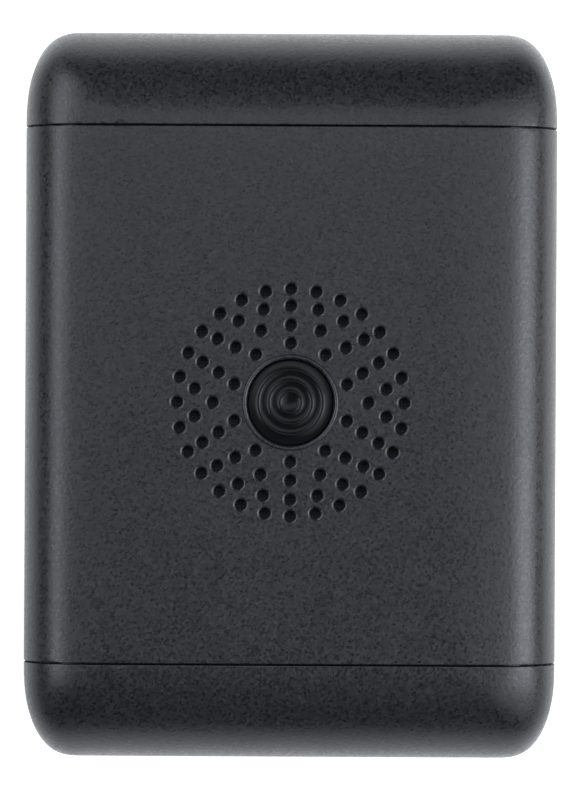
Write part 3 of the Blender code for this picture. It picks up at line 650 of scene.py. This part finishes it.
def cap_tongue(side):
    """The wall inside a cap that goes into the covers' open end and closes the seam to light."""
    reach = abs(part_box("front_end_cap")[1].y)
    shape = case_form(TONGUE_OUTER - 0.02 * MM)
    slice_off(shape, (0, side * (CAP_SEAM + TONGUE_ROOT), 0), (0, side, 0))
    slice_off(shape, (0, side * reach, 0), (0, -side, 0))
    root = case_form(WALL - GAP)
    slice_off(root, (0, side * (CAP_SEAM + TONGUE_ROOT), 0), (0, side, 0))
    slice_off(root, (0, side * CAP_SEAM, 0), (0, -side, 0))
    return shape, root


def make_end_caps():
    half_x, half_z = 5.1 * MM, 2.2 * MM
    far = CASE_LENGTH
    button_hole = rounded_box((-half_x, -far, AXIS_Z - half_z),
                              (half_x, -END_INNER_Y + WALL, AXIS_Z + half_z),
                              1, half_z * 0.999)
    lamp_radius = 1.4 * MM
    turn([(0, far), (lamp_radius, far), (lamp_radius, 0), (0, 0)], (LAMP_X, -END_INNER_Y + WALL, AXIS_Z),
         "-Y", 32, button_hole)
    jack_holes = bmesh.new()
    for x, radius in ((AUDIO_X, 3.1 * MM), (POWER_X, POWER_NOSE + 0.1 * MM)):
        face = CASE_LENGTH / 2
        lip = 0.25 * MM
        turn([(0, face + WALL), (radius + WALL + lip, face + WALL), (radius, face - lip),
              (radius, END_INNER_Y - WALL), (0, END_INNER_Y - WALL)], (x, 0, AXIS_Z), "+Y", 48, jack_holes)
    for side, name, node, holes in ((-1, "front_cap", "front_end_cap", button_hole),
                                    (1, "rear_cap", "rear_end_cap", jack_holes)):
        shape = case_form()
        slice_off(shape, (0, side * CAP_SEAM, 0), (0, -side, 0))
        soften_edges(shape, EDGE_BREAK)
        tongue, root = cap_tongue(side)
        mesh = carve(shape, ("DIFFERENCE", case_form(WALL)), ("UNION", root), ("UNION", tongue),
                     ("DIFFERENCE", case_form(TONGUE_INNER)), ("DIFFERENCE", holes))
        finished_piece(name, mesh, "case_plastic", "case", node)


def make_emblem():
    """Round glossy emblem: thin plain ribs round its centre, like ripples."""
    face = -0.42 * MM
    rib, slope = 0.20 * MM, 36          # half width of a rib, and its flanks' slope in degrees
    edge = 0.12 * MM
    bend = rib / math.sin(math.radians(slope))
    drop = bend * math.cos(math.radians(slope))
    profile = [(0, face)]
    for ring in (1.1 * MM, 2.2 * MM, 3.3 * MM):
        profile += arc((ring, face - drop), bend, 90 + slope, 90 - slope, 8)
    profile += [(EMBLEM_RADIUS - edge, face), (EMBLEM_RADIUS, face - edge),
                (EMBLEM_RADIUS, -POCKET_DEPTH + 0.02 * MM), (0, -POCKET_DEPTH + 0.02 * MM)]
    shape = turn(profile, (0, GRILLE_Y, CASE_TOP), steps=96)
    finished_piece("ripple_emblem", shape, "emblem_gloss", "case", "emblem")


# Underside

def make_feet():
    for index in range(1, 5):
        low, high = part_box(f"rubber_foot_{index}")
        radius = (high.x - low.x) / 2
        place = ((low.x + high.x) / 2, (low.y + high.y) / 2, 0)
        edge = 0.35 * MM
        groove = 0.12 * MM
        profile = [(0, high.z), (radius, high.z), *arc((radius - edge, edge), edge, 0, -90, 5)]
        for ring in (2.6 * MM, 1.7 * MM, 0.8 * MM):
            profile += [(ring + groove, 0), (ring, groove), (ring - groove, 0)]
        profile.append((0, 0))
        finished_piece(f"foot_pad_{index}", turn(profile, place, steps=56), "rubber", "case",
                       f"rubber_foot_{index}")


def make_screws():
    for index in range(1, 5):
        low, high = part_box(f"case_screw_{index}")
        place = ((low.x + high.x) / 2, (low.y + high.y) / 2, 0)
        head = (high.x - low.x) / 2
        seat = low.z + 1.1 * MM
        shank = 1.3 * MM
        core = 0.95 * MM
        pitch = 1.0 * MM
        profile = [(0, high.z), (0.3 * MM, high.z - 0.5 * MM)]
        height = high.z - 1.4 * MM
        while height > seat + pitch:
            profile += [(core, height), (shank, height - pitch * 0.35), (core, height - pitch * 0.7)]
            height -= pitch
        profile += [(shank, seat), (head, seat),
                    *arc((head - 0.5 * MM, low.z + 0.5 * MM), 0.5 * MM, 0, -90, 5),
                    (0, low.z)]
        shape = turn(profile, place, steps=36)
        x, y, _ = place
        long, half, depth = 1.35 * MM, 0.22 * MM, 0.75 * MM
        cross = box((x - long, y - half, -WALL), (x + long, y + half, low.z + depth))
        wide = box((x - half, y - long, -WALL), (x + half, y + long, low.z + depth))
        mesh = carve(shape, ("DIFFERENCE", cross), ("DIFFERENCE", wide))
        finished_piece(f"pan_head_screw_{index}", mesh, "zinc_steel", "case", f"case_screw_{index}")


# Rear jacks

def jack_housing(name, node, x, bore, back_wall, contacts, nose=None):
    """A jack's moulded body, with its bore and open slots for its contacts."""
    low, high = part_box(node)
    mouth = 0.3 * MM
    outer_edge = 0.4 * MM
    shape = rounded_box(low, (high.x, END_INNER_Y - GAP, high.z), 1, outer_edge, 4)
    steps = [("UNION", nose)] if nose else []
    steps.append(("DIFFERENCE", turn([(0, high.y + mouth), (bore + 2 * mouth, high.y + mouth),
                                      (bore, high.y - mouth), (bore, low.y + back_wall),
                                      (0, low.y + back_wall)], (x, 0, AXIS_Z), "+Y", 56)))
    for contact in contacts:
        least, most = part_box(contact)
        slot = box((least.x - GAP, least.y - GAP, least.z - WALL), most + Vector((GAP, GAP, GAP)))
        steps.append(("DIFFERENCE", slot))
    if nose:
        pin = (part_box("power_jack_centre_pin")[1].x - POWER_X) + GAP
        steps.append(("DIFFERENCE", turn([(0, low.y + back_wall + GAP), (pin, low.y + back_wall + GAP),
                                          (pin, low.y - WALL), (0, low.y - WALL)],
                                         (x, 0, AXIS_Z), "+Y", 32)))
    finished_piece(name, carve(shape, *steps), "black_moulding", "case", node)


def make_jack_housings():
    jack_housing("audio_housing", "audio_jack_body", AUDIO_X, AUDIO_BORE, 1.2 * MM,
                 [f"audio_jack_{part}_contact" for part in ("tip", "ring", "sleeve")])
    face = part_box("power_jack_body")[1].y
    edge = 0.25 * MM
    root = END_INNER_Y - GAP - WALL
    nose = turn([(0, face), *arc((POWER_NOSE - edge, face - edge), edge, 90, 0, 5), (POWER_NOSE, root),
                 (0, root)], (POWER_X, 0, AXIS_Z), "+Y", 56)
    jack_housing("power_housing", "power_jack_body", POWER_X, POWER_BORE, 2.5 * MM,
                 ["power_jack_side_contact"], nose)


def make_jacks():
    low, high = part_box("audio_jack_bushing")
    radius = (high.x - low.x) / 2
    length = high.y - low.y
    round_off = 0.22 * MM
    mouth = 0.4 * MM
    profile = [(AUDIO_BORE, 0), (AUDIO_BORE, length - mouth),
               *arc((AUDIO_BORE + mouth, length - mouth), mouth, 180, 90, 5),
               *arc((radius - round_off, length - round_off), round_off, 90, 0, 5), (radius, 0)]
    shape = turn(profile, (AUDIO_X, low.y, AXIS_Z), "+Y", 56)
    finished_piece("audio_bushing", shape, "nickel", "case", "audio_jack_bushing")

    low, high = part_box("power_jack_centre_pin")
    pin = (high.x - low.x) / 2
    length = high.y - low.y
    profile = [*arc((0, length - pin), pin, 90, 0, 8), (pin, 0), (0, 0)]
    profile[0] = (0, length)
    shape = turn(profile, (POWER_X, low.y, AXIS_Z), "+Y", 32)
    finished_piece("power_pin", shape, "nickel", "case", "power_jack_centre_pin")


# Front end

def make_button():
    low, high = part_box("pairing_button")
    half_x, half_z = 5.0 * MM, 2.1 * MM
    front = -END_INNER_Y + 0.3 * MM
    face = rounded_box((-half_x, low.y, AXIS_Z - half_z), (half_x, front + 0.5 * MM, AXIS_Z + half_z),
                       1, half_z * 0.999, 14)
    soften_edges(face, 0.35 * MM, 4)
    flange = rounded_box((low.x, front, low.z), (high.x, front + 1.0 * MM, high.z), 1, half_z)
    stem = turn([(0, 0), (1.3 * MM, 0), (1.3 * MM, high.y - front - 0.4 * MM),
                 (0, high.y - front - 0.4 * MM)], (0, front + 0.4 * MM, AXIS_Z), "+Y", 32)
    mesh = carve(face, ("UNION", flange), ("UNION", stem))
    finished_piece("pairing_key", mesh, "case_plastic", "pairing_button", "pairing_button")


def make_light_pipe():
    low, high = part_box("led_light_pipe")
    wide = (high.x - low.x) / 2
    narrow = 1.3 * MM
    back = high.y
    length = back - low.y
    flange_front = back + END_INNER_Y - 0.3 * MM
    profile = [(0, length), *arc((narrow - 0.3 * MM, length - 0.3 * MM), 0.3 * MM, 90, 0, 5),
               (narrow, flange_front), (wide, flange_front), (wide, flange_front - 0.8 * MM),
               (narrow, flange_front - 0.8 * MM), (narrow, 0), (0, 0)]
    shape = turn(profile, (LAMP_X, back, AXIS_Z), "-Y", 40)
    finished_piece("lamp_lens", shape, "clear_lens", "case", "led_light_pipe")


def finish_frame_nodes():
    """The pieces whose frame solids are shown keep them and take the fine materials."""
    slots = {entry["node"]: entry["material_slot"] for entry in frame["record"]["subparts"]}
    for name, node in frame["nodes"].items():
        if node.hide_render:
            continue
        node.data.materials.clear()
        node.data.materials.append(FINISHES[slots[name]])


# Stage

def make_floor():
    """A plain pale floor. A pool of light round the case lights its rims from below, and the floor that
    the camera sees grows paler with distance, until it meets the backdrop."""
    shape = bmesh.new()
    bmesh.ops.create_grid(shape, x_segments=1, y_segments=1, size=4.0)
    mesh = bpy.data.meshes.new("floor")
    shape.to_mesh(mesh)
    shape.free()
    floor = bpy.data.objects.new("floor", mesh)
    bpy.context.scene.collection.objects.link(floor)
    material, tree, shader = new_material("pale_floor", 0.9)
    shader.inputs["Base Color"].default_value = (0.88, 0.88, 0.87, 1.0)
    shader.inputs["Specular IOR Level"].default_value = 0.0
    shader.inputs["Emission Color"].default_value = (1.0, 0.985, 0.95, 1.0)
    span = tree.nodes.new("ShaderNodeVectorMath")
    span.operation = "LENGTH"
    place = tree.nodes.new("ShaderNodeMapping")
    place.inputs["Location"].default_value = (-0.024, -0.024, 0.0)
    place.inputs["Scale"].default_value = (0.8, 1.2, 1.0)
    tree.links.new(tree.nodes.new("ShaderNodeTexCoord").outputs["Object"], place.inputs["Vector"])
    tree.links.new(place.outputs["Vector"], span.inputs[0])
    pool = remap(tree, span.outputs["Value"], 0.04, 0.12, 0.8, 0.0)
    seen = tree.nodes.new("ShaderNodeLightPath").outputs["Is Camera Ray"]
    glow = maths(tree, "MULTIPLY", pool, maths(tree, "SUBTRACT", 1.0, seen))
    away = tree.nodes.new("ShaderNodeVectorMath")
    away.operation = "LENGTH"
    tree.links.new(tree.nodes.new("ShaderNodeTexCoord").outputs["Object"], away.inputs[0])
    pale = remap(tree, away.outputs["Value"], 0.15, 0.9, 0.6, 1.0)
    tree.links.new(maths(tree, "ADD", glow, maths(tree, "MULTIPLY", seen, pale)),
                   shader.inputs["Emission Strength"])
    mesh.materials.append(material)


def aim(obj, place, target):
    obj.location = place
    obj.rotation_mode = "QUATERNION"
    obj.rotation_quaternion = (Vector(target) - Vector(place)).to_track_quat("-Z", "Y")


def make_softbox(name, place, target, size, radiance, tint):
    lamp = bpy.data.lights.new(name, "AREA")
    lamp.shape = "RECTANGLE"
    lamp.size, lamp.size_y = size
    lamp.energy = radiance * math.pi * size[0] * size[1]
    lamp.color = tint
    softbox = bpy.data.objects.new(name, lamp)
    bpy.context.scene.collection.objects.link(softbox)
    softbox.visible_camera = False
    aim(softbox, place, target)


def make_side_softbox(name, side, tilt, along, size, radiance, tint):
    """A long softbox beside the case and parallel to it. tilt is its angle from straight above."""
    lean = math.radians(tilt)
    away = 0.75
    place = (side * away * math.sin(lean), along, CASE_TOP + away * math.cos(lean))
    make_softbox(name, place, (0, along, CASE_TOP), size, radiance, tint)


def make_world():
    """Dim surroundings for the light, and a pale backdrop for the eye."""
    world = bpy.data.worlds.new("studio")
    bpy.context.scene.world = world
    world.use_nodes = True
    tree = world.node_tree
    dim = tree.nodes["Background"]
    dim.inputs["Color"].default_value = (0.92, 0.97, 1.0, 1.0)
    dim.inputs["Strength"].default_value = 0.12
    pale = tree.nodes.new("ShaderNodeBackground")
    pale.inputs["Strength"].default_value = 1.0
    pale.inputs["Color"].default_value = (1.0, 1.0, 1.0, 1.0)
    mix = tree.nodes.new("ShaderNodeMixShader")
    tree.links.new(tree.nodes.new("ShaderNodeLightPath").outputs["Is Camera Ray"], mix.inputs["Fac"])
    tree.links.new(dim.outputs["Background"], mix.inputs[1])
    tree.links.new(pale.outputs["Background"], mix.inputs[2])
    tree.links.new(mix.outputs["Shader"], tree.nodes["World Output"].inputs["Surface"])


def make_lights():
    cool = (0.93, 0.98, 1.06)
    make_side_softbox("right_softbox", 1, 50, -0.08, (0.40, 0.54), 4.0, cool)
    make_side_softbox("right_wing", 1, 46, -0.22, (1.3, 0.95), 1.1, cool)
    make_side_softbox("left_softbox", -1, 44, 0.42, (1.35, 0.40), 3.05, cool)
    make_softbox("overhead_panel", (-0.05, 0.19, 0.8), (0, 0, CASE_TOP), (0.6, 0.26), 1.25, cool)


def make_camera():
    """Straight above the case, turned a touch."""
    camera = bpy.data.cameras.new("camera")
    camera.lens = 200
    camera.sensor_width = 36
    obj = bpy.data.objects.new("camera", camera)
    bpy.context.scene.collection.objects.link(obj)
    frame_height = 81.24 * MM           # what the view takes in, at the height of the case's top
    distance = frame_height * camera.lens / camera.sensor_width
    obj.location = (0.05 * MM, -0.49 * MM, CASE_TOP + distance)
    obj.rotation_euler = (0, 0, math.radians(0.3))
    camera.clip_start = 0.01
    camera.clip_end = 20
    bpy.context.scene.camera = obj


bpy.context.scene.view_settings.view_transform = "Standard"
make_grille_cover()
make_base_tray()
make_end_caps()
make_emblem()
make_feet()
make_screws()
make_jack_housings()
make_jacks()
make_button()
make_light_pipe()
finish_frame_nodes()
make_floor()
make_world()
make_lights()
make_camera()
